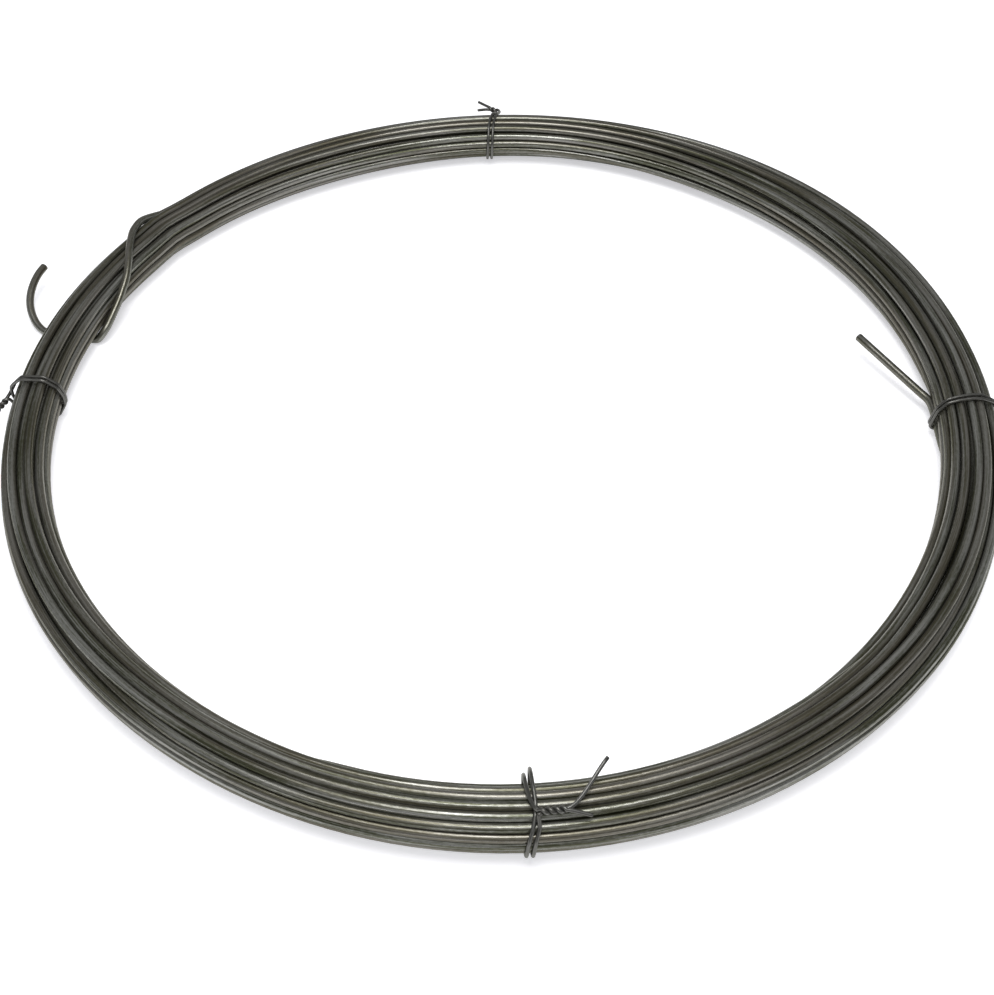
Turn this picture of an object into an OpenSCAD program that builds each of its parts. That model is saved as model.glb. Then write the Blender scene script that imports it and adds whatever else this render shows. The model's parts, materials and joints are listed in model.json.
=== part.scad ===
// A hand coil of binding wire: one long wire wound into a loose bundle of turns,
// held by four ties of thinner, softer wire. It lies flat on the floor, z = 0,
// on its ties, with the axis of the coil up the Z axis.

/* [Wire] */
// Diameter of the binding wire
wire_d = 3; // [2.6:0.1:3.2]
// Diameter of the soft wire of the ties
tie_d = 1.2; // [1:0.1:1.4]

/* [Coil] */
// Diameter of the coil, measured at the middle of its bundle
coil_d = 334; // [300:1:400]
// Distance between turns side by side in a layer, in wire diameters
turn_spacing = 1.3; // [1.25:0.01:1.35]
// Distance between one layer and the next, in wire diameters
layer_spacing = 0.92; // [0.9:0.01:0.94]

/* [Ties] */
// Place of the front tie round the coil, in degrees
front_tie_angle = 271.9; // [262:0.1:284]
// Place of the right tie
right_tie_angle = 357.9; // [350:0.1:366]
// Place of the back tie
back_tie_angle = 91; // [80:1:100]
// Place of the left tie
left_tie_angle = 179.5; // [174:0.5:190]
// Advance of a tie along the coil in each of its two turns
tie_pitch = 1.7; // [1.6:0.1:2.4]
// Length of one full twist of a tie's two ends
twist_pitch = 4; // [3.5:0.1:5]

/* [Free ends] */
// Angle from the right tie to where the inner end leaves the coil
inner_end_gap = 0.1; // [0:0.1:3]
// Angle that the inner end turns in from the coil
inner_end_turn = 35.7; // [30:0.1:42]
// Length of the straight part of the inner end
inner_end_length = 33.2; // [24:0.1:38]
// Upward slope of the inner end
inner_end_rise = 6.3; // [4:0.1:8]

/* [Hidden] */

steel = [0.34, 0.34, 0.31];
tie_steel = [0.46, 0.45, 0.42];
coil_r = coil_d / 2;

// The bundle, in section: x out from its middle, y up from the floor.
layers = 6;
turn_sides = 24;
turn_pitch = turn_spacing * wire_d;
layer_pitch = layer_spacing * wire_d;
touch_gap = 0.08;
lowest_turn_z = tie_d + touch_gap + wire_d / 2;
function layer_turns(i) = i == 0 || i == layers - 1 ? 3 : 4;
// Neighbouring layers lie half a turn apart, so that each turn sits in a hollow.
function layer_shift(i) = (i == 0 || i == 1 || i == 3 ? -1 : 1) * turn_pitch / 4;
function turn_centre(i, j) = [
    (j - (layer_turns(i) - 1) / 2) * turn_pitch + layer_shift(i),
    lowest_turn_z + i * layer_pitch
];
turn_centres = [
    for (i = [0 : layers - 1]) for (j = [0 : layer_turns(i) - 1]) turn_centre(i, j)
];
core_outline = concat(
    [for (i = [0 : layers - 1]) turn_centre(i, layer_turns(i) - 1)],
    [for (i = [layers - 1 : -1 : 0]) turn_centre(i, 0)]
);

// The passage under the turns where the outer end is tucked through to the outside.
tuck_angle = 165.92;
tuck_clearance = 0.3;
tuck_w = wire_d + 2 * tuck_clearance;
tuck_h = wire_d + 2 * tuck_clearance;
tuck_length = 8 * wire_d;

// The outer end's route: distance out from the middle of the bundle and height
// above the floor in wire diameters, and the angle round the coil in degrees.
outer_end_route = [
    [2.28, 139.0, 4.60], [2.33, 140.6, 4.60], [2.77, 142.2, 4.67], [3.17, 143.7, 4.93],
    [2.97, 145.2, 5.47], [2.43, 146.9, 6.10], [1.73, 148.7, 6.53], [1.07, 150.2, 6.55],
    [0.10, 151.7, 6.55], [-1.00, 153.4, 6.50], [-1.85, 154.8, 6.13], [-2.45, 156.4, 5.42],
    [-2.85, 157.8, 4.83], [-3.10, 159.2, 4.33], [-3.28, 160.6, 3.77], [-3.30, 162.1, 3.20],
    [-3.30, 163.6, 2.62], [-3.30, 164.8, 2.02], [-3.22, 165.5, 1.50], [-2.87, 165.7, 1.03],
    [-2.30, 165.85, 0.68], [-1.60, 165.9, 0.55], [0, 165.9, 0.53], [1.33, 165.95, 0.53],
    [3.00, 166.0, 0.53], [4.53, 166.2, 0.53], [6.00, 165.8, 0.60], [7.33, 165.0, 1.07],
    [8.40, 163.9, 1.70], [9.10, 162.8, 2.20], [9.57, 161.6, 2.67], [9.93, 160.2, 3.00],
    [10.10, 159.0, 3.20], [10.10, 157.9, 3.30]
];
route_steps = 2;

// The inner end leaves the innermost turn of the second layer by a sharp bend, goes on
// in a slack one and is straight to its tip. Each stretch is a hair thicker than the one
// before and takes its end in, so that their walls never coincide.
inner_end_angle = right_tie_angle + inner_end_gap;
inner_end_start = turn_centre(1, 0);
sharp_bend_r = 5;
slack_bend_r = 150;
slack_turn = 4;
joint_overlap = 0.2;
joint_step = 0.03;

// The ties. Their strands keep a small gap from the turns and from each other.
tube_sides = 8;
wrap_step = 15;
twist_steps = 8;
bridge_steps = 8;
lead_angle = 25;
strand_gap = 0.15;
twist_r = (tie_d + strand_gap) / 2;
wrap_reach = wire_d / 2 + touch_gap + tie_d / 2;
bundle_reach = max([for (c = turn_centres) abs(c[0])]) + wrap_reach;
knot_lift = 1.8 * tie_d;
knot_spread = 60;
slack_side = 155;

function unit(v) = v / norm(v);
function square_to(direction, v) = unit(v - (v * direction) * direction);

// A point of the coil: x out from the middle of the bundle, t along it, z up.
function on_coil(p, angle) = [
    (coil_r + p[0]) * cos(angle) - p[1] * sin(angle),
    (coil_r + p[0]) * sin(angle) + p[1] * cos(angle),
    p[2]
];

// A smooth curve through the points of a route, by Catmull and Rom's rule.
function spline_point(a, b, c, d, s) =
    b + s / 2 * ((c - a) + s * ((2 * a - 5 * b + 4 * c - d) + s * (3 * b - 3 * c + d - a)));
function smooth(route, steps) = let (last = len(route) - 1) concat(
    [for (i = [0 : last - 1]) for (k = [0 : steps - 1]) spline_point(
        route[max(i - 1, 0)], route[i], route[i + 1], route[min(i + 2, last)], k / steps
    )],
    [route[last]]
);

// The points between p and q of a curve that leaves p along u and reaches q along v.
function bridge(p, u, q, v) = [
    for (i = [1 : bridge_steps - 1]) let (s = i / bridge_steps)
        (1 + s * s * (2 * s - 3)) * p + s * (1 - s) * (1 - s) * u
        + s * s * (3 - 2 * s) * q - s * s * (1 - s) * v
];

// The turn that stands out furthest in direction a of the section.
function furthest_turn(a) =
    let (direction = [cos(a), sin(a)], most = max([for (c = turn_centres) c * direction]))
    [for (c = turn_centres) if (c * direction > most - 0.001) c][0];

// The point of the section where a tie drawn tight touches the bundle in direction a.
function touch_point(a) = furthest_turn(a) + wrap_reach * [cos(a), sin(a)];
// The direction in which a tie runs there.
function wrap_direction(a) = [-sin(a), 0, cos(a)];

// A point of a tie's turns round the bundle, in direction a of the section and at part of
// their whole length. The turns lean along the coil by lean from the outside of the bundle
// to its inside, are pulled along it by pull at the knot, and stand off the bundle's inner
// top edge by slack.
function wrap_point(a, part, knot_angle, pull, lean, slack) =
    let (
        p = touch_point(a),
        from_knot = (a - knot_angle + 180) % 360 - 180,
        off = slack * (0.5 + part) * pow(max(0, cos(a - slack_side)), 4),
        t = 2 * tie_pitch * part + lean * (1 - p[0] / bundle_reach) / 2
            + pull * exp(-pow(from_knot / knot_spread, 2))
    )
    [p[0] + off * cos(a), t, p[1] + off * sin(a)];

// One strand of the twisted pair, from the knot outwards. Its axis starts at knot and
// runs along axis, and at the start the strand lies to the side given by side.
function twist_strand(knot, axis, side, length) =
    let (up = cross(axis, side), steps = ceil(length / twist_pitch * twist_steps))
    [for (k = [0 : steps]) let (s = k / steps * length, a = 360 * s / twist_pitch)
        knot + s * axis + twist_r * (cos(a) * side + sin(a) * up)];

// A tie's whole route, in the coordinates of on_coil: one free end, its strand of the
// twist, two turns round the bundle, the other strand and the other free end.
// The knot is in direction knot_angle of the section and at knot_t along the coil.
function tie_route(knot_angle, knot_t, pull, lean, slack, axis, twist_length, tip_a, tip_b) =
    let (
        first = knot_angle + lead_angle,
        last = knot_angle + 720 - lead_angle,
        outward = [cos(knot_angle), 0, sin(knot_angle)],
        touch = touch_point(knot_angle),
        knot = [touch[0], knot_t, touch[1]] + knot_lift * outward,
        side = square_to(axis, 0.1 * wrap_direction(knot_angle) - [0, 1, 0]),
        strand_a = twist_strand(knot, axis, side, twist_length),
        strand_b = twist_strand(knot, axis, -side, twist_length),
        wrap = [for (a = [first : wrap_step : last])
            wrap_point(a, (a - first) / (last - first), knot_angle, pull, lean, slack)],
        wrap_end = wrap[len(wrap) - 1],
        end_a = strand_a[len(strand_a) - 1],
        end_b = strand_b[len(strand_b) - 1],
        reach_a = norm(knot + tip_a - end_a),
        reach_b = norm(knot + tip_b - end_b)
    )
    concat(
        [knot + tip_a],
        bridge(knot + tip_a, end_a - knot - tip_a, end_a, -0.6 * reach_a * axis),
        [for (k = [len(strand_a) - 1 : -1 : 0]) strand_a[k]],
        bridge(strand_a[0], -3.5 * tie_d * axis, wrap[0], 3 * tie_d * wrap_direction(first)),
        wrap,
        bridge(wrap_end, 4 * tie_d * wrap_direction(last), strand_b[0], 1.4 * tie_d * axis),
        strand_b,
        bridge(end_b, 0.6 * reach_b * axis, knot + tip_b, knot + tip_b - end_b),
        [knot + tip_b]
    );

// A round wire along a route, with flat ends.
module tube(route, d) {
    last = len(route) - 1;
    along = [for (i = [0 : last]) unit(route[min(i + 1, last)] - route[max(i - 1, 0)])];
    start = abs(along[0][2]) < 0.9 ? [0, 0, 1] : [1, 0, 0];
    across = [
        for (i = 0, v = square_to(along[0], start); i <= last;
            i = i + 1, v = square_to(along[min(i, last)], v)) v
    ];
    points = [
        for (i = [0 : last]) for (k = [0 : tube_sides - 1]) let (a = 360 * k / tube_sides)
            route[i] + d / 2 * (cos(a) * across[i] + sin(a) * cross(along[i], across[i]))
    ];
    walls = [
        for (i = [0 : last - 1]) for (k = [0 : tube_sides - 1])
            let (m = i * tube_sides, n = m + tube_sides, next = (k + 1) % tube_sides)
                each [[m + k, n + k, n + next], [m + k, n + next, m + next]]
    ];
    start_cap = [for (k = [0 : tube_sides - 1]) k];
    end_cap = [for (k = [tube_sides - 1 : -1 : 0]) last * tube_sides + k];
    polyhedron(points, concat(walls, [start_cap, end_cap]));
}

// The turns are drawn with flats narrow enough to look round, because cones this wide
// mesh more evenly than rings do.
module bundle_section() {
    for (c = turn_centres)
        polygon([for (k = [0 : turn_sides - 1]) let (a = 360 * k / turn_sides)
            c + wire_d / 2 * [cos(a), sin(a)]]);
    polygon(core_outline);
}

// The room that the outer end takes where the turns arch over it.
module tuck_passage() {
    rotate([0, 0, tuck_angle])
    translate([coil_r, 0, tuck_h / 2 - 1])
    cube([tuck_length, tuck_w, tuck_h + 2], center = true);
}

module wire_turns() {
    color(steel)
    difference() {
        rotate_extrude($fn = 180) translate([coil_r, 0]) bundle_section();
        tuck_passage();
    }
}

// A bend of the wire from the origin, along +Y and round towards -X.
module bend(r, angle, d) {
    translate([-r, 0, 0])
    rotate_extrude(angle = angle, $fn = 180)
    translate([r, 0])
    circle(d = d, $fn = 36);
}

// Where a bend of that radius and angle ends, seen from where it starts.
module after_bend(r, angle) {
    translate([-r, 0, 0]) rotate([0, 0, angle]) translate([r, -joint_overlap, 0]) children();
}

module wire_inner_end() {
    color(steel)
    rotate([0, 0, inner_end_angle])
    translate([coil_r + inner_end_start[0], 0, inner_end_start[1]])
    rotate([inner_end_rise, 0, 0]) {
        bend(sharp_bend_r, inner_end_turn - slack_turn, wire_d - 2 * joint_step);
        after_bend(sharp_bend_r, inner_end_turn - slack_turn) {
            bend(slack_bend_r, slack_turn, wire_d - joint_step);
            after_bend(slack_bend_r, slack_turn)
                rotate([-90, 0, 0])
                cylinder(d = wire_d, h = inner_end_length, $fn = 36);
        }
    }
}

module wire_outer_end() {
    route = [for (p = outer_end_route) on_coil([p[0], 0, p[2]] * wire_d, p[1])];
    color(steel) tube(smooth(route, route_steps), wire_d);
}

module tie(angle, route) {
    color(tie_steel) tube([for (p = route) on_coil(p, angle)], tie_d);
}

module tie_front() {
    tie(front_tie_angle, tie_route(84, 4.1, 0, 1.2, 3.5,
        unit([-0.3, 0.95, -0.05]), 7.6, [-17.3, 19.9, 1.2], [-1, 14.6, -1.9]));
}

module tie_right() {
    tie(right_tie_angle, tie_route(35, -1.6, -3.5, -5.6, 0,
        unit([0.7, 0.1, 0.5]), 5, [8, 3, 1], [6, -2, 6]));
}

module tie_back() {
    tie(back_tie_angle, tie_route(24, -1.3, -3.1, 0.5, 0,
        unit([0.3, 0.95, 0.2]), 3.6, [5.6, 8.2, 1.2], [-0.4, 8.6, 0.8]));
}

module tie_left() {
    tie(left_tie_angle, tie_route(0, 3.4, 0.3, 2.6, 0.6,
        unit([0.6, 0.78, -0.15]), 5, [6, 8, -4], [8, 5, -1]));
}

wire_turns();
wire_inner_end();
wire_outer_end();
tie_front();
tie_right();
tie_back();
tie_left();
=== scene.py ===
# %% [markdown]
# # A coil of binding wire
#
# A hand coil is one long wire, wound round and round into a loose bundle and held by a
# few ties of thinner wire. This lesson builds it as it is made. First the turns are laid
# into the bundle, where each one finds its place between its neighbours. Then the two
# free ends are led out, the ties are drawn round the bundle, and all of it is swept into
# round wire and given its drawn, oxidised steel.

# %% Load the frame
import json
import math
import bpy
import numpy as np
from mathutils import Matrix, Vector


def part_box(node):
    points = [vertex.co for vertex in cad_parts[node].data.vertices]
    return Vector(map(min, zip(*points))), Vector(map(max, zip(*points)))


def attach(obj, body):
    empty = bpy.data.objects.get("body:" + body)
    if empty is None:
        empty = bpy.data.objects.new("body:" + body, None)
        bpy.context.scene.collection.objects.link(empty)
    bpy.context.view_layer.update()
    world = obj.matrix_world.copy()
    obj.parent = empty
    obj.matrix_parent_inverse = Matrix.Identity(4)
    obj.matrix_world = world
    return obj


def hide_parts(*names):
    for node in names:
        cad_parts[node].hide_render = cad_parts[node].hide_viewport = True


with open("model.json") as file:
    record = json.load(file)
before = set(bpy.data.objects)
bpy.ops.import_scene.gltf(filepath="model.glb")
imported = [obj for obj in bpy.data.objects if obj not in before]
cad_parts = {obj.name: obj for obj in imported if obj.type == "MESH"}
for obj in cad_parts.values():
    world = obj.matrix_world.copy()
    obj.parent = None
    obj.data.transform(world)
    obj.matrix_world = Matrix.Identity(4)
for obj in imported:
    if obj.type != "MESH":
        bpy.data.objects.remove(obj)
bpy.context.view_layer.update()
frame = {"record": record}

mount = {m["name"]: m for m in frame["record"]["mounts"]}

# %% [markdown]
# ## Sizes
#
# Everything is worked out in millimetres and turned into metres at the end. A place in
# the coil is written (x, t, z): x outwards from the middle of the bundle, t along it and
# z up from the floor, at some angle round the coil. The solid ring reaches 8.33 mm
# outwards from the middle of its bundle, and its outside gives the coil's radius.

# %% Sizes
MM = 0.001
RING_REACH = 8.33
wire_r = mount["wire_end"]["dims"]["r_mm"]
wire_d = 2 * wire_r
tie_r = 0.6
low, high = (np.array(c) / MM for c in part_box("wire_turns"))
coil_r = high[0] - RING_REACH
bundle_low, bundle_high = low[2], high[2]
middle_z = (bundle_low + bundle_high) / 2
half_height = (bundle_high - bundle_low) / 2
print(f"wire {wire_d:.1f} mm, coil radius {coil_r:.1f} mm, bundle {2 * half_height:.1f} mm high")


def on_coil(x, t, z, angle):
    """The point (x, t, z) of the coil at that angle in degrees, as X, Y, Z in millimetres."""
    c, s = np.cos(np.radians(angle)), np.sin(np.radians(angle))
    return np.stack([(coil_r + x) * c - t * s, (coil_r + x) * s + t * c, z + 0 * x], -1)


# %% [markdown]
# ## The bundle's outline
#
# The coil isn't perfectly round and its bundle isn't equally tight all the way. It is
# drawn together at the ties and bulges between them. Half its width and how far its
# middle wanders from a true circle are given every 15 degrees, in millimetres, and
# joined smoothly by the first eight terms of their Fourier series.
#
# Where the wire's outer end leaves the bundle, a bulge of 1 mm is added to both, so the
# bundle's outer side moves out by 2 mm and its inner side stays.

# %% The outline
TERMS = 8
BULGE_ANGLE = 145.5
BULGE_SPREAD = 3
half_width = [
    10.2, 11.2, 11.8, 12.6, 11.9, 10.3, 10.0, 10.3, 10.2, 9.0, 8.2, 8.5,
    8.0, 8.1, 8.4, 8.7, 8.8, 9.1, 9.4, 9.6, 9.8, 10.3, 10.4, 10.4,
]
wander = [
    -0.4, 0.1, 1.2, 1.4, 1.4, 1.3, 0.3, -1.1, -1.4, -0.6, 0.2, -0.1,
    0.3, 0.7, 0.6, 0.2, 0.0, 0.1, 0.3, 0.0, -0.1, -0.6, -0.9, -1.0,
]


def hill(angle, at, spread):
    """1 at one angle, falling off smoothly on both sides of it."""
    return np.exp(-(((angle - at) / spread) ** 2))


def around(values, angle):
    """A smooth value at each angle from one value every 15 degrees.

    It is the mean of the values, the first waves of their Fourier series and the bulge.
    """
    angle = np.asarray(angle)
    terms = np.fft.rfft(values) / len(values)
    turn = np.exp(1j * np.radians(angle)[..., None] * np.arange(1, TERMS + 1))
    wave = 2 * (terms[1:TERMS + 1] * turn).sum(-1).real
    return terms[0].real + wave + hill(angle, BULGE_ANGLE, BULGE_SPREAD)


print(f"bundle {2 * min(half_width):.0f} to {2 * max(half_width):.0f} mm wide")

# %% [markdown]
# ## Places in the bundle
#
# The places in the bundle form a snake: up the first column, down the next, and so on
# from the inside of the coil to the outside. In each turn the wire moves on by one place.
# It does that between the right tie and the back tie, where the bundle is slack, by a
# smooth step s s (3 - 2 s). No turn is laid perfectly, so each sways a little: a few
# slow waves of random size and phase are added to its place.

# %% Places
TURNS = 22
FIRST_ANGLE = -18.0
LEAVES_AT = 144.0
COLUMNS = [4, 5, 4, 5, 5]
MOVES_FROM, MOVES_OVER = 5, 95
SWAY = 0.35
draw = np.random.default_rng(3)
sway = [(f, draw.normal(size=2), draw.random(2)) for f in (0.37, 0.83, 1.31, 2.17, 3.3)]
places = []
for k, count in enumerate(COLUMNS):
    column = [((k - 2) / 2, (j - (count - 1) / 2) / 2) for j in range(count)]
    places += column if k % 2 == 0 else column[::-1]
places = np.array(places)


def wished(n, stations, angle, a, b):
    """The place (x, z) that the wire tends to at station n, in a bundle 2a wide and 2b high."""
    step = np.clip((angle - MOVES_FROM) / MOVES_OVER, 0, 1)
    place = n // stations + step * step * (3 - 2 * step)
    whole = np.minimum(place.astype(int), len(places) - 2)
    part = (place - whole)[:, None]
    wish = places[whole] * (1 - part) + places[whole + 1] * part
    wish = wish * np.stack([a, 0 * a + b], 1) + [0, middle_z]
    turn = (n / stations)[:, None]
    return wish + SWAY * sum(w * np.sin(2 * np.pi * (turn * f + p)) for f, w, p in sway)


print(f"{len(places)} places in {len(COLUMNS)} columns for {TURNS} turns")

# %% [markdown]
# ## Laying the turns
#
# From those places the turns push each other apart until they lie about one diameter
# apart or more, stay inside the outline
#
#     |x / a|^2.2 + |z / b|^2.2 <= 1
#
# and straighten themselves along their length, over and over, as stiff wire does. At the
# front the bundle is spread, so that its turns lie in even rows at its surface. They rise
# over the outer end where it is tucked under them, and make way for the inner end, which
# lies in the bundle for a short way and then bends out of it into the eye.
#
# Each round moves a turn by a share of what it should move: PULL of the way to its wished
# place, PUSH of what it overlaps another and EASE of its bend.

# %% Rules for the turns
TUCK_ANGLE = 165.9
TUCK_SPREAD, TUCK_RISE = 7, 2.1
FRONT_ANGLE = 270
FRONT_SPREAD, FRONT_PUSH = 35, 0.03
SQUARENESS = 2.2
CLEARANCE = 1.01
PULL, PUSH, EASE = 0.02, 0.45, 0.25
inner_leg = np.array([
    (-18, -3.6, 4.6), (-15, -4.4, 4.8), (-12, -5.8, 5.0), (-9, -7.3, 5.2), (-7, -8.2, 5.4),
    (-5, -8.8, 5.7), (-3, -9.2, 6.0), (-1, -9.4, 6.4), (0.5, -10.3, 6.8), (2.0, -12.4, 7.1),
]).T


def leg_at(angle):
    """The place (x, z) of the inner end in the bundle at that angle, from its points."""
    return np.stack([np.interp(angle, inner_leg[0], values) for values in inner_leg[1:]], -1)


def pushed_apart(p, pair):
    """Moves the wires p[wire, station] off each other by a share of what each pair overlaps."""
    apart = p[:, None] - p[None]
    distance = np.sqrt((apart ** 2).sum(-1)) + 1e-9
    over = np.where(pair, np.maximum(0, CLEARANCE * wire_d - distance), 0)
    return p + PUSH * ((over / distance)[..., None] * apart).sum(1)


def kept_inside(q, a, b, floor):
    """Shrinks each place (x, z) towards the middle until it is in the outline and off the floor."""
    x, z = q[:, 0], q[:, 1] - middle_z
    out = (np.abs(x) / a) ** SQUARENESS + (np.abs(z) / b) ** SQUARENESS
    shrink = np.where(out > 1, np.maximum(out, 1) ** (-1 / SQUARENESS), 1)
    return np.stack([x * shrink, np.maximum(middle_z + z * shrink, floor)], 1)


print(f"wires lie {CLEARANCE * wire_d:.2f} mm apart, and rise {TUCK_RISE} mm over the tuck")

# %% [markdown]
# The turns are first laid coarsely, which settles where they go, and then three times as
# finely, which smooths them.

# %% Lay the turns


def lay_turns(stations, rounds, start=None):
    """Lays the turns with that many stations to a turn, from their wished places or a start.

    Gives the wire's place (x, z) and the angle at each station, and how many stations the
    wire takes up before its outer end leaves.
    """
    n = np.arange(TURNS * stations)
    angle = FIRST_ANGLE + n % stations * 360 / stations
    last = (TURNS - 1) * stations + round((LEAVES_AT - FIRST_ANGLE) * stations / 360) + 1
    a = around(half_width, angle) - wire_r
    b = half_height - wire_r
    wish = wished(n, stations, angle, a, b)
    floor = bundle_low + wire_r + TUCK_RISE * hill(angle, TUCK_ANGLE, TUCK_SPREAD)
    spread = (FRONT_PUSH * hill(angle, FRONT_ANGLE, FRONT_SPREAD))[:, None]
    at = angle[:stations]
    beside_leg = (at >= inner_leg[0][0]) & (at <= inner_leg[0][-1])
    shown = np.vstack([(n < last).reshape(TURNS, stations), beside_leg[None]])
    pair = shown[:, None] & shown[None] & ~np.eye(len(shown), dtype=bool)[:, :, None]
    q = wish.copy() if start is None else start.copy()
    for _ in range(rounds):
        q += PULL * (wish - q) + spread * (q - [0, middle_z])
        for _ in range(3):
            q[1:last - 1] += EASE * (q[:last - 2] + q[2:last] - 2 * q[1:last - 1])
        for _ in range(3):
            wires = np.vstack([q.reshape(TURNS, stations, 2), leg_at(at)[None]])
            q = kept_inside(pushed_apart(wires, pair)[:TURNS].reshape(-1, 2), a, b, floor)
    return q, angle, last


COARSE, STATIONS = 60, 180
coarse, _, _ = lay_turns(COARSE, 300)
n_coarse = np.arange(TURNS * STATIONS) / (STATIONS / COARSE)
fine = np.stack([np.interp(n_coarse, np.arange(len(coarse)), x) for x in coarse.T], 1)
laid, laid_angle, laid_count = lay_turns(STATIONS, 50, fine)
print(f"{laid_count} points in {TURNS} turns")

# %% [markdown]
# `section(angle)` gives the middles of all the turns where the coil is cut at an angle.
# The ties are drawn round these, and the outer end rests on them.

# %% Sections
by_turn = laid.reshape(TURNS, STATIONS, 2)


def section(angle):
    """The middles (x, z) of the turns at that angle, in millimetres."""
    place = (angle - FIRST_ANGLE) % 360 * STATIONS / 360
    i = int(place)
    f = place - i
    count = (laid_count - 1 - i) // STATIONS + 1
    here = by_turn[:count, i]
    after = by_turn[:count, (i + 1) % STATIONS]
    middles = here * (1 - f) + after * f
    middles[:, 0] += around(wander, angle)
    return middles


print("turns at the front, left and right:", [len(section(a)) for a in (270, 180, 0)])

# %% [markdown]
# ## Smooth curves
#
# A route is a few points and the wire follows a smooth curve through them, by Catmull and
# Rom's rule: between b and c, with neighbours a and d,
#
#     p(s) = b + s/2 ((c - a) + s ((2a - 5b + 4c - d) + s (3b - 3c + d - a)))

# %% Curves


def unit(v):
    """Each vector divided by its length."""
    return v / np.linalg.norm(v, axis=-1, keepdims=True)


def smooth(route, steps):
    """A curve through the route's points with that many steps from each to the next."""
    route = np.asarray(route, float)
    p = np.vstack([route[:1], route, route[-1:]])
    a, b, c, d = (p[i:len(p) - 3 + i, None] for i in range(4))
    s = (np.arange(steps) / steps)[:, None]
    curve = b + s / 2 * ((c - a) + s * ((2 * a - 5 * b + 4 * c - d) + s * (3 * b - 3 * c + d - a)))
    return np.vstack([curve.reshape(-1, route.shape[1]), route[-1:]])


def relaxed(points, passes):
    """The curve with its kinks eased out, its two ends kept.

    In each pass every point moves half way to the middle of its two neighbours.
    """
    p = points.copy()
    for _ in range(passes):
        p[1:-1] += EASE * (p[:-2] + p[2:] - 2 * p[1:-1])
    return p


def length_of(line):
    """The length of a line through points."""
    return np.linalg.norm(np.diff(line, axis=0), axis=1).sum()


corners = np.radians([0, 30, 60, 90])
quarter = length_of(smooth(np.stack([np.cos(corners), np.sin(corners)], 1), 8))
print(f"a quarter circle through 4 points is {quarter:.3f} long, and should be {math.pi / 2:.3f}")

# %% [markdown]
# ## The outer end
#
# The last turn comes up at the outside of the bundle, lies across it, goes down its
# inner side and is tucked through under all the turns. Outside, it curls back in an open
# hook. Each point is (x, angle, z), with x and z in wire diameters.
#
# The part that crosses the bundle rests on it. Stiff wire lies on the bundle's hull, the
# outline without its notches: in direction n the hull stands h(n) = max(c . n) from the
# bundle's middle, over its turns c. So along direction w the wire's middle comes down to
#
#     k = min over n of (h(n) + reach) / (n . w)
#
# The route's first points lie on the last turn, which has been laid already, so the line
# takes up the route a little after the place where the end leaves.

# %% Outer end
outer_route = np.array([
    (2.28, 139.0, 4.60), (2.33, 140.6, 4.60), (2.77, 142.2, 4.67), (3.17, 143.7, 4.93),
    (2.97, 145.2, 5.47), (2.43, 146.9, 6.10), (1.73, 148.7, 6.53), (1.07, 150.2, 6.55),
    (0.10, 151.7, 6.55), (-1.00, 153.4, 6.50), (-1.85, 154.8, 6.13), (-2.45, 156.4, 5.42),
    (-2.85, 157.8, 4.83), (-3.10, 159.2, 4.33), (-3.28, 160.6, 3.77), (-3.30, 162.1, 3.20),
    (-3.30, 163.6, 2.62), (-3.30, 164.8, 2.02), (-3.22, 165.5, 1.50), (-2.87, 165.7, 1.03),
    (-2.30, 165.85, 0.68), (-1.60, 165.9, 0.55), (0, 165.9, 0.53), (1.33, 165.95, 0.53),
    (3.00, 166.0, 0.53), (4.53, 166.2, 0.53), (6.00, 165.8, 0.60), (7.33, 165.0, 1.07),
    (8.40, 163.9, 1.70), (9.10, 162.8, 2.20), (9.57, 161.6, 2.67), (9.93, 160.2, 3.00),
    (10.10, 159.0, 3.20), (10.10, 157.9, 3.30),
]) * (wire_d, 1, wire_d)
CROSSING = slice(5, 22)
REST_REACH = 1.02 * wire_d


def resting(x, angle, z):
    """The place between the bundle's middle and (x, z), or beyond, where a wire rests on it."""
    middles = section(angle)
    centre = middles.mean(0)
    way = unit(np.array([x, z]) - centre)
    a = np.radians(np.arange(0, 360, 5))
    around_it = np.stack([np.cos(a), np.sin(a)], 1)
    far = (around_it @ (middles - centre).T).max(1) + REST_REACH
    facing = around_it @ way
    ahead = facing > 0.2
    return centre + way * (far[ahead] / facing[ahead]).min()


for point in outer_route[CROSSING]:
    point[[0, 2]] = resting(*point)
turns_curve = np.stack([laid[:laid_count, 0] + around(wander, laid_angle[:laid_count]),
                        laid_angle[:laid_count], laid[:laid_count, 1]], 1)
turns_line = on_coil(turns_curve[:, 0], 0, turns_curve[:, 2], turns_curve[:, 1])
leaving = outer_route[outer_route[:, 1] > LEAVES_AT + 2]
outer_curve = relaxed(smooth(np.vstack([turns_curve[-2:], leaving]), 3)[3:], 2)
outer_line = on_coil(outer_curve[:, 0], 0, outer_curve[:, 2], outer_curve[:, 1])
print(f"outer end {length_of(outer_line):.0f} mm")

# %% [markdown]
# ## The inner end
#
# It is straight from its tip, where it is a free pin of wire, bends sharply at the right
# tie and lies against the bundle's inner side for a short way. Both ends of the wire point
# the same way round, so this one has to be folded back on itself: the fold lies low on
# the bundle's inner side, a half circle from the end's short leg to the first turn.

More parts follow.
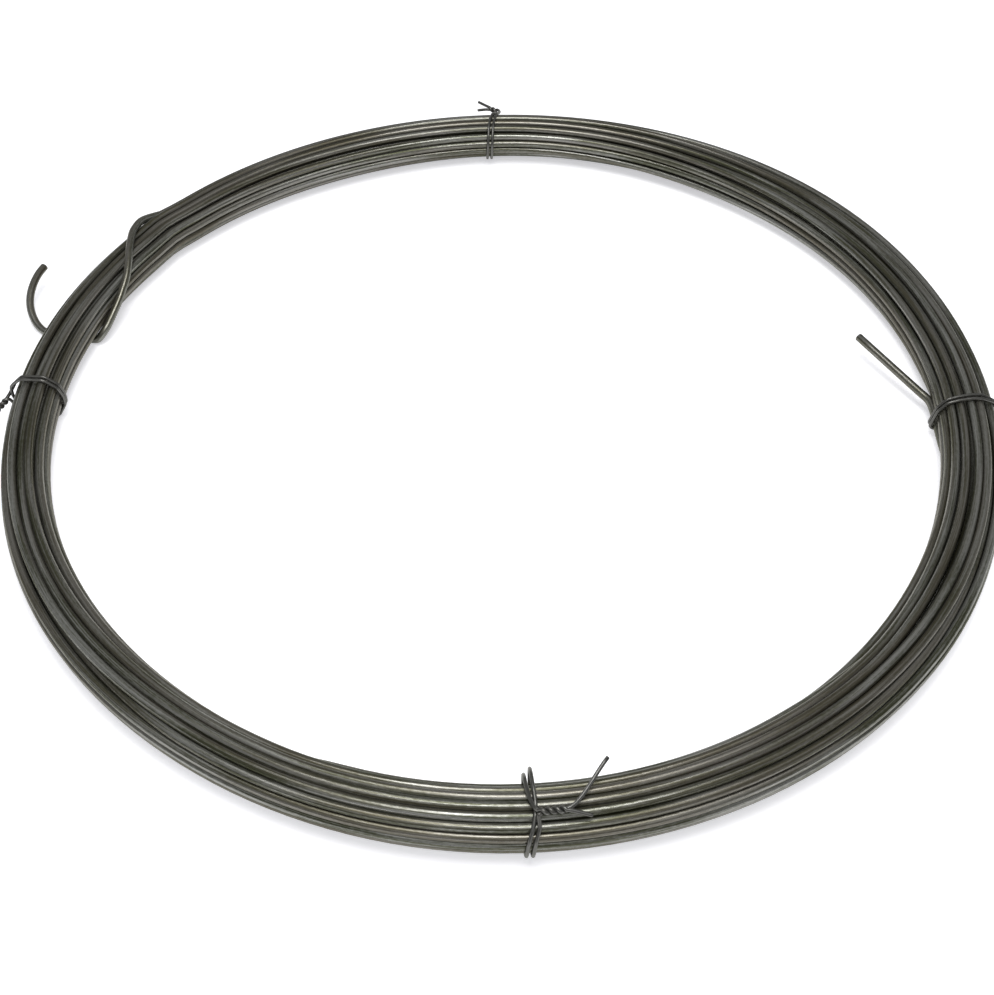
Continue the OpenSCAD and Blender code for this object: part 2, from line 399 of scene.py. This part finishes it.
# %% Inner end
PAST_ROOT = 4.2
tip = np.array(mount["wire_end"]["pos_m"]) / MM
root = tip - mount["wire_end"]["dims"]["length_mm"] * np.array(mount["wire_end"]["axis"])
bend = root + PAST_ROOT * unit(root - tip)
straight = tip + (root - tip) * np.linspace(0, 1, 6)[:, None]
back_angle, back_x, back_z = inner_leg[:, 7::-1]
leg = on_coil(back_x + around(wander, back_angle), 0, back_z, back_angle)
folds_at, first_turn = np.array([back_x[-1], back_z[-1]]), laid[0]
fold_r = np.linalg.norm(first_turn - folds_at) / 2
a = np.radians(np.arange(22.5, 180, 22.5))[:, None]
across = (folds_at + first_turn) / 2 - np.cos(a) * (first_turn - folds_at) / 2
fold = on_coil(across[:, 0] + around(wander, FIRST_ANGLE), -fold_r * np.sin(a[:, 0]),
               across[:, 1], FIRST_ANGLE)
inner_line = np.vstack([straight[:-1], smooth(np.vstack([root, bend, leg]), 3), fold])
print(f"fold {fold_r:.2f} mm in radius")

# %% [markdown]
# ## One wire
#
# The inner end, the turns and the outer end are joined into the one line that the wire
# follows, from tip to tip.

# %% One wire
wire_line = np.vstack([inner_line, turns_line[:-1], outer_line])

# %% [markdown]
# ## The ties
#
# A tie is drawn twice round the bundle. At direction a of the section it touches the turn
# that stands out furthest that way. Pulled tight it would run straight from one such turn
# to the next, but the wire is springy, so it is eased into a rounder loop and only kept
# from sinking into the turns. Its turns lean along the coil, are pulled towards the knot,
# and on one side they may stand slack off the bundle.

# %% Turns of a tie
TIE_GAP = 0.18
WRAP_REACH = wire_r + TIE_GAP + tie_r
WRAP_FROM, WRAP_TO, WRAP_STEP = 25, 696, 6.0
EASINGS = 40
TIE_PITCH = 1.7
KNOT_SPREAD = 45.0


def seen_from(angle):
    """The middles of all the wires that a tie at that angle has to go round.

    For the right tie, just before 360 degrees, the inner end's leg is one of them.
    """
    middles = section(angle)
    if angle > 350:
        middles = np.vstack([middles, leg_at(angle - 360) + [around(wander, angle), 0]])
    return middles


def eased(loop, middles):
    """The loop made rounder, and kept off the turns and the floor.

    Each point moves half way to the middle of its neighbours, then out of the nearest
    turn if it has sunk into it.
    """
    k = np.arange(len(loop))
    for _ in range(EASINGS):
        loop[1:-1] += EASE * (loop[:-2] + loop[2:] - 2 * loop[1:-1])
        apart = loop[:, None] - middles[None]
        distance = np.linalg.norm(apart, axis=-1)
        nearest = distance.argmin(1)
        gap = np.maximum(0, WRAP_REACH - distance[k, nearest])
        loop += (gap / distance[k, nearest])[:, None] * apart[k, nearest]
        loop[:, 1] = np.maximum(loop[:, 1], tie_r)
    return loop


def wrap(angle, knot_angle, pull, lean, slack, slack_side):
    """The tie's turns round the bundle, as (x, t, z).

    t grows by the pitch, by lean from the outer side to the inner, and by pull at the knot.
    """
    middles = seen_from(angle)
    a = np.radians(np.arange(knot_angle + WRAP_FROM, knot_angle + WRAP_TO, WRAP_STEP))
    way = np.stack([np.cos(a), np.sin(a)], 1)
    loop = eased(middles[(way @ middles.T).argmax(1)] + WRAP_REACH * way, middles)
    part = (a - a[0]) / (a[-1] - a[0])
    from_knot = (np.degrees(a) - knot_angle + 180) % 360 - 180
    t = (2 * TIE_PITCH * part + lean * (1 - loop[:, 0] / np.abs(loop[:, 0]).max()) / 2
         + pull * np.exp(-(from_knot / KNOT_SPREAD) ** 2))
    on_side = np.maximum(0, np.cos(a - math.radians(slack_side))) ** 4
    loop += (slack * (0.5 + part) * on_side)[:, None] * way
    return np.stack([loop[:, 0], t, loop[:, 1]], 1)


print(f"two tight turns at the front: {length_of(wrap(270, 90, 0, 0, 0, 0)):.0f} mm")

# %% [markdown]
# ## Knots
#
# The two ends of a tie cross at the knot and wind round each other in a pair of helices
#
#     p(s) = knot + s axis +- r (cos(360 s / pitch) side + sin(360 s / pitch) up)
#
# and a smooth bridge joins each strand to the tie's turns. Between p, left along u, and q,
# reached along v, it is
#
#     (1 - 3s^2 + 2s^3) p + s (1 - s)^2 u + (3s^2 - 2s^3) q - s^2 (1 - s) v
#
# The longer u and v are, the more the bridge keeps to its end's direction.

# %% Knots
TWIST_PITCH = 4.0
TWIST_POINTS = 14
TWIST_GAP = 0.03
KNOT_LIFT = 3.8 * tie_r
OUT_OF_FIRST, INTO_TURNS = 7 * tie_r, 6 * tie_r
OUT_OF_TURNS, INTO_SECOND = 8 * tie_r, 3 * tie_r
TAIL = 0.6


def bridge(p, u, q, v, steps=10):
    """Points between p and q of a curve that leaves p along u and reaches q along v."""
    s = (np.arange(1, steps) / steps)[:, None]
    return ((1 + s * s * (2 * s - 3)) * p + s * (1 - s) ** 2 * u
            + s * s * (3 - 2 * s) * q - s * s * (1 - s) * v)


def strand(knot, axis, side, length):
    """One strand of the twisted pair, a helix round the axis from the knot outwards."""
    s = np.linspace(0, length, int(length / TWIST_PITCH * TWIST_POINTS) + 1)[:, None]
    a = 2 * np.pi * s / TWIST_PITCH
    away = np.cos(a) * side + np.sin(a) * np.cross(axis, side)
    return knot + s * axis + (tie_r + TWIST_GAP) * away


def tie_line(angle, knot_angle, knot_t, pull, lean, slack, slack_side, axis, twist, tips):
    """A tie's whole route: one free end, its strand, two turns, the other strand and end."""
    axis = unit(np.array(axis, float))
    turns = wrap(angle, knot_angle, pull, lean, slack, slack_side)
    k = np.radians(knot_angle)
    out = np.array([math.cos(k), 0, math.sin(k)])
    round_it = np.array([-math.sin(k), 0, math.cos(k)])
    middles = seen_from(angle)
    far = middles[(middles @ out[[0, 2]]).argmax()]
    knot = np.array([far[0], knot_t, far[1]]) + (WRAP_REACH + KNOT_LIFT) * out
    side = 0.1 * round_it - np.array([0, 1, 0])
    side = unit(side - (side @ axis) * axis)
    one, two = strand(knot, axis, side, twist), strand(knot, axis, -side, twist)
    tip_a, tip_b = knot + tips[0], knot + tips[1]
    reach_a, reach_b = (np.linalg.norm(t - s[-1]) for t, s in ((tip_a, one), (tip_b, two)))
    start, stop = unit(turns[1] - turns[0]), unit(turns[-1] - turns[-2])
    line = np.vstack([
        tip_a, bridge(tip_a, one[-1] - tip_a, one[-1], -TAIL * reach_a * axis), one[::-1],
        bridge(one[0], -OUT_OF_FIRST * axis, turns[0], INTO_TURNS * start), turns,
        bridge(turns[-1], OUT_OF_TURNS * stop, two[0], INTO_SECOND * axis), two,
        bridge(two[-1], TAIL * reach_b * axis, tip_b, tip_b - two[-1]), tip_b,
    ])
    return on_coil(line[:, 0], line[:, 1], line[:, 2], angle)


print(f"a strand twists {360 / TWIST_PITCH:.0f} degrees a millimetre")

# %% [markdown]
# Each of the four ties is drawn and knotted in its own way. The front one is knotted on
# top and stands slack on its inner side, and the left one stands a little slack on its
# outer side. The two tips of each are given from its knot, as (x, t, z).

# %% Four ties
ties = {
    "tie_front": tie_line(
        271.9, knot_angle=78, knot_t=4.6, pull=1.8, lean=0.8, slack=3.0, slack_side=150,
        axis=(-0.1, 1, -0.05), twist=7.6, tips=((-15.3, 19.9, 1.4), (0.6, 14.6, -1.6))),
    "tie_right": tie_line(
        357.9, knot_angle=35, knot_t=-1.2, pull=-1.2, lean=-5.2, slack=0.0, slack_side=0,
        axis=(0.7, 0.1, 0.5), twist=5, tips=((8, 3, 1), (6, -2, 6))),
    "tie_back": tie_line(
        91.0, knot_angle=30, knot_t=-1.3, pull=-3.1, lean=0.5, slack=0.0, slack_side=0,
        axis=(0.3, 0.95, 0.2), twist=3.6, tips=((5.6, 8.2, 1.2), (-0.4, 8.6, 0.8))),
    "tie_left": tie_line(
        179.5, knot_angle=0, knot_t=3.4, pull=0.3, lean=0.0, slack=1.2, slack_side=38,
        axis=(0.5, 0.84, -0.18), twist=5.4, tips=((6, 8, -4), (8, 5, -1))),
}
print({name: f"{length_of(line):.0f} mm" for name, line in ties.items()})

# %% [markdown]
# ## Round wire
#
# A wire is swept along its line as rings of points, ring i being
#
#     p(i) + r (cos(a) n(i) + sin(a) t(i) x n(i))
#
# where t is the line's direction and n a normal that is carried along it without
# turning. Each end is closed with a small chamfer and a flat cut.

# %% Rings
CHAMFER = 0.12


def carried_normals(t):
    """A normal at each point: the last one less its part along the line, at unit length.

    Taking that part away is the matrix I - t t'. Each point needs the product of its own
    matrix and all those before it, and multiplying by doubled steps gives all of them.
    """
    carry = np.eye(3) - t[:, :, None] * t[:, None]
    step = 1
    while step < len(t):
        carry[step:] = carry[step:] @ carry[:-step]
        step *= 2
    first = [0, 0, 1.0] if abs(t[0][2]) < 0.9 else [1.0, 0, 0]
    return unit(carry @ first)


def rings_along(line, radius, sides):
    """The rings of a round wire, as p(ring, side), and its line with the chamfers' points."""
    t = unit(np.gradient(line, axis=0))
    chamfer = CHAMFER * radius
    line = np.vstack([line[:1], line[:1] + chamfer * t[:1], line[1:-1],
                      line[-1:] - chamfer * t[-1:], line[-1:]])
    t = np.vstack([t[:1], t, t[-1:]])
    r = np.full(len(line), float(radius))
    r[[0, -1]] -= chamfer
    n = carried_normals(t)
    b = np.cross(t, n)
    a = (2 * np.pi * np.arange(sides) / sides)[:, None]
    away = np.cos(a) * n[:, None] + np.sin(a) * b[:, None]
    return line[:, None] + r[:, None, None] * away, line


pin, _ = rings_along(np.array([[0, 0, 0], [1, 0, 0], [2, 0, 0.0]]), wire_r, 8)
print(f"a short pin has {pin.shape[0]} rings of {pin.shape[1]} points")

# %% [markdown]
# Four-sided faces join each ring to the next, and a fan of triangles closes each end. The
# first texture coordinate is the length along the wire in metres, and the second runs
# once round it, so the steel's marks can follow the wire.

# %% Mesh


def wire_mesh(name, line, radius, sides):
    """The mesh of a round wire along the line: rings, then the middles of its two ends."""
    rings, line = rings_along(line, radius, sides)
    count = len(line)
    points = np.vstack([rings.reshape(-1, 3), line[:1], line[-1:]]) * MM
    i, k = np.meshgrid(np.arange(count - 1), np.arange(sides), indexing="ij")
    here, beyond = i * sides, (i + 1) * sides
    after = (k + 1) % sides
    quads = np.stack([here + k, here + after, beyond + after, beyond + k], -1)
    along = np.append(0, np.cumsum(np.linalg.norm(np.diff(line, axis=0), axis=1))) * MM
    uv = np.stack([along[[i, i, i + 1, i + 1]], np.stack([k, k + 1, k + 1, k]) / sides], -1)
    k, after = k[0], after[0]
    near, far, last_ring = count * sides, count * sides + 1, (count - 1) * sides
    fans = np.vstack([np.stack([0 * k + near, after, k], 1),
                      np.stack([0 * k + far, last_ring + k, last_ring + after], 1)])
    corners = np.concatenate([quads.ravel(), fans.ravel()])
    corner_uv = np.vstack([uv.transpose(1, 2, 0, 3).reshape(-1, 2), np.zeros((fans.size, 2))])
    sizes = np.append(np.full(quads.size // 4, 4), np.full(len(fans), 3))

    mesh = bpy.data.meshes.new(name)
    mesh.vertices.add(len(points))
    mesh.vertices.foreach_set("co", points.ravel())
    mesh.loops.add(len(corners))
    mesh.loops.foreach_set("vertex_index", corners)
    mesh.polygons.add(len(sizes))
    mesh.polygons.foreach_set("loop_start", np.append(0, np.cumsum(sizes)[:-1]))
    mesh.polygons.foreach_set("use_smooth", sizes == 4)
    mesh.uv_layers.new(name="along").uv.foreach_set("vector", corner_uv.ravel())
    mesh.update()
    mesh.validate()
    return mesh


def sweep(name, line, radius, sides, material, slot, *nodes):
    """Makes the piece of round wire along the line, in place of those CAD nodes."""
    mesh = wire_mesh(name, line, radius, sides)
    mesh.materials.append(material)
    piece = bpy.data.objects.new(name, mesh)
    bpy.context.collection.objects.link(piece)
    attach(piece, "root")
    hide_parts(*nodes)
    return piece


WIRE_SIDES, TIE_SIDES = 16, 12
print(f"the wire's mesh will have {(len(wire_line) + 2) * WIRE_SIDES} points in rings")

# %% [markdown]
# ## Steel
#
# Shader sums are easier to read as sums, so `Field` wraps a socket and lets it be added,
# subtracted and multiplied like a number. Any other node comes from its method `node`.

# %% Shader sums


class Field:
    """A shader socket that can be used in arithmetic, or the start of a tree, without one."""

    def __init__(self, tree, socket=None):
        self.tree, self.socket = tree, socket

    def node(self, kind, inputs=None, output=0, **settings):
        """Adds any node: its settings first, then its inputs, linked or set by name or number."""
        made = self.tree.nodes.new("ShaderNode" + kind)
        for key, value in settings.items():
            setattr(made, key, value)
        for key, value in (inputs or {}).items():
            if isinstance(value, Field):
                self.tree.links.new(value.socket, made.inputs[key])
            else:
                made.inputs[key].default_value = value
        return Field(self.tree, made.outputs[output])

    def also(self, output):
        """Another output of the same node."""
        return Field(self.tree, self.socket.node.outputs[output])

    def math(self, operation, a, b=0.0):
        """A Math node of one or two values."""
        return self.node("Math", {0: a, 1: b}, operation=operation)

    def __add__(self, other):
        return self.math("ADD", self, other)

    def __radd__(self, other):
        return self.math("ADD", other, self)

    def __sub__(self, other):
        return self.math("SUBTRACT", self, other)

    def __rsub__(self, other):
        return self.math("SUBTRACT", other, self)

    def __mul__(self, other):
        return self.math("MULTIPLY", self, other)

    def __rmul__(self, other):
        return self.math("MULTIPLY", other, self)

    def ramp(self, start, end):
        """0 below start, 1 above end and smooth between."""
        return self.node("MapRange", {"Value": self, "From Min": start, "From Max": end},
                         interpolation_type="SMOOTHSTEP")

    def mix(self, a, b):
        """A colour mixed from a, where this field is 0, and b, where it is 1."""
        return self.node("Mix", {0: self, 6: a, 7: b}, output=2, data_type="RGBA")


print(Field.__doc__)

# %% [markdown]
# Drawn and annealed wire is dark with oxide, and bright where the die or a hand has
# rubbed it. Its marks run along it: long streaks, patches some centimetres long, and
# small specks. They are noise on (length, cosine, sine), which closes round the wire
# without a seam. For each kind, `noise` is told how close the marks are along the wire,
# how close they are round it, and how much fine detail they have.

# %% Steel


def steel(name, oxides, bright, streaks_a_metre, roughness):
    """Drawn wire: two tints of oxide, bright where streaks, patches and specks add up."""
    material = bpy.data.materials.new(name)
    material.use_nodes = True
    tree = material.node_tree
    shader = tree.nodes["Principled BSDF"]
    uv = Field(tree).node("UVMap")
    along = uv.node("SeparateXYZ", {0: uv})
    turned = along.also("Y") * (2 * math.pi)
    c, s = turned.math("COSINE", turned), turned.math("SINE", turned)

    def noise(a_metre, across, detail):
        spot = uv.node("CombineXYZ", {0: along * a_metre, 1: c * across, 2: s * across})
        return uv.node("TexNoise", {"Vector": spot, "Scale": 1.0, "Detail": detail})

    streaks = noise(streaks_a_metre, 4.0, 3.0).ramp(0.32, 0.70)
    patches = noise(22.0, 0.7, 3.0).ramp(0.36, 0.66)
    tint = noise(9.0, 0.5, 1.0).ramp(0.35, 0.65)
    specks = noise(600.0, 3.0, 2.0).ramp(0.36, 0.68)
    grain = noise(2600.0, 6.0, 2.0)
    worn = (streaks * 0.46 + patches * 0.38 + specks * 0.16).ramp(0.1, 0.92)
    colour = worn.mix((*oxides[0], 1), (*bright, 1))
    colour = (tint * 0.55).mix(colour, (*oxides[1], 1))
    tree.links.new(colour.socket, shader.inputs["Base Color"])
    rough = roughness + (1 - streaks) * 0.10 + (1 - specks) * 0.03
    tree.links.new(rough.socket, shader.inputs["Roughness"])
    shader.inputs["Metallic"].default_value = 0.75
    shader.inputs["Specular Tint"].default_value = (0.5, 0.5, 0.45, 1)
    shader.inputs["Coat Weight"].default_value = 0.2
    shader.inputs["Coat Roughness"].default_value = 0.25
    height = streaks * 0.5 + grain * 0.5
    bump = uv.node("Bump", {"Strength": 0.25, "Distance": 0.00008, "Height": height})
    tree.links.new(bump.socket, shader.inputs["Normal"])
    return material


wire_steel = steel("wire_steel", ((0.050, 0.053, 0.027), (0.106, 0.090, 0.068)),
                   (0.31, 0.31, 0.29), 28.0, 0.24)
tie_steel = steel("tie_steel", ((0.060, 0.060, 0.056), (0.090, 0.086, 0.074)),
                  (0.22, 0.22, 0.21), 60.0, 0.26)
print({made.name: f"{len(made.node_tree.nodes)} nodes" for made in (wire_steel, tie_steel)})

# %% [markdown]
# ## Make the pieces
#
# The long wire is one piece from the tip of its inner end to the tip of its outer end,
# and stands for the solid ring and the two solid ends. Each tie is a piece of its own.

# %% Pieces
wire = sweep("binding_wire", wire_line, wire_r, WIRE_SIDES, wire_steel, "wire",
             "wire_turns", "wire_inner_end", "wire_outer_end")
wire_d * MM
pieces = [wire] + [sweep(name + "_wire", line, tie_r, TIE_SIDES, tie_steel, "tie_wire", name)
                   for name, line in ties.items()]
triangles = {p.name: len(p.data.loops) - 2 * len(p.data.polygons) for p in pieces}
print("triangles:", triangles)

# %% [markdown]
# ## Camera
#
# The coil is looked at from above its near side, near enough for it to fill the view.

# %% Camera
camera = bpy.data.objects.new("camera", bpy.data.cameras.new("camera"))
bpy.context.collection.objects.link(camera)
bpy.context.scene.camera = camera
camera.location = (-0.0007, -0.3378, 0.3391)
aim = Vector((-0.0013, -0.0400, 0)) - camera.location
camera.rotation_euler = aim.to_track_quat("-Z", "Y").to_euler()
camera.data.angle = math.radians(42.0)
camera.data.clip_start = 0.01
camera_height = math.degrees(math.asin(-aim.z / aim.length))
print(f"camera {aim.length:.2f} m from the coil, {camera_height:.0f} degrees up")

# %% [markdown]
# ## Floor
#
# The floor is plain white paper. What the camera, reflections and clear things see of it
# gets a glow of its own, so it looks white without more light on the coil, and the coil
# still throws its shadow on it.

# %% Floor
FLOOR_HALF = 4
floor_corners = [(-FLOOR_HALF, -FLOOR_HALF, 0), (FLOOR_HALF, -FLOOR_HALF, 0),
                 (FLOOR_HALF, FLOOR_HALF, 0), (-FLOOR_HALF, FLOOR_HALF, 0)]
floor_mesh = bpy.data.meshes.new("floor")
floor_mesh.from_pydata(floor_corners, [], [(0, 1, 2, 3)])
floor = bpy.data.objects.new("floor", floor_mesh)
bpy.context.collection.objects.link(floor)
paper = bpy.data.materials.new("paper")
paper.use_nodes = True
tree = paper.node_tree
paper_shader = tree.nodes["Principled BSDF"]
paper_shader.inputs["Base Color"].default_value = (0.92, 0.92, 0.93, 1)
paper_shader.inputs["Roughness"].default_value = 1.0
paper_shader.inputs["Specular IOR Level"].default_value = 0.0
path = Field(tree).node("LightPath")
seen = sum(path.also(f"Is {kind} Ray") for kind in ("Camera", "Glossy", "Transmission"))
glow = seen.mix((0, 0, 0, 1), (0.48, 0.48, 0.50, 1))
tree.links.new(glow.socket, paper_shader.inputs["Emission Color"])
paper_shader.inputs["Emission Strength"].default_value = 1.0
floor_mesh.materials.append(paper)
print(f"floor {2 * FLOOR_HALF} m wide")

# %% [markdown]
# ## Light
#
# A soft lamp straight above the near side lights the tops of the turns and leaves their
# sides dark, which shows each wire as a round one. A wide weak lamp in front fills the
# shadows, and a plain sky does the rest. The camera sees the sky white.

# %% Light


def softbox(name, location, target, width, depth, watts):
    """A soft area light that shines from location towards target."""
    lamp = bpy.data.lights.new(name, "AREA")
    lamp.shape = "RECTANGLE"
    lamp.size, lamp.size_y, lamp.energy = width, depth, watts
    box = bpy.data.objects.new(name, lamp)
    box.location = location
    box.rotation_euler = (Vector(target) - box.location).to_track_quat("-Z", "Y").to_euler()
    bpy.context.collection.objects.link(box)


softbox("key", (0, -0.12, 0.72), (0, -0.12, 0), 0.38, 0.42, 4.1)
softbox("fill", (0, -0.60, 0.62), (0, -0.05, 0), 0.90, 0.60, 1.1)

SKY_LIGHT, SKY_SEEN = 0.29, 1.0
world = bpy.data.worlds.new("studio")
bpy.context.scene.world = world
world.use_nodes = True
tree = world.node_tree
sky = tree.nodes["Background"]
sky.inputs["Color"].default_value = (0.97, 0.98, 1.0, 1)
seen = Field(tree).node("LightPath", output="Is Camera Ray")
strength = seen * (SKY_SEEN - SKY_LIGHT) + SKY_LIGHT
tree.links.new(strength.socket, sky.inputs["Strength"])
bpy.context.scene.view_settings.view_transform = "Standard"
print("lamps:", [lamp.name for lamp in bpy.data.lights])
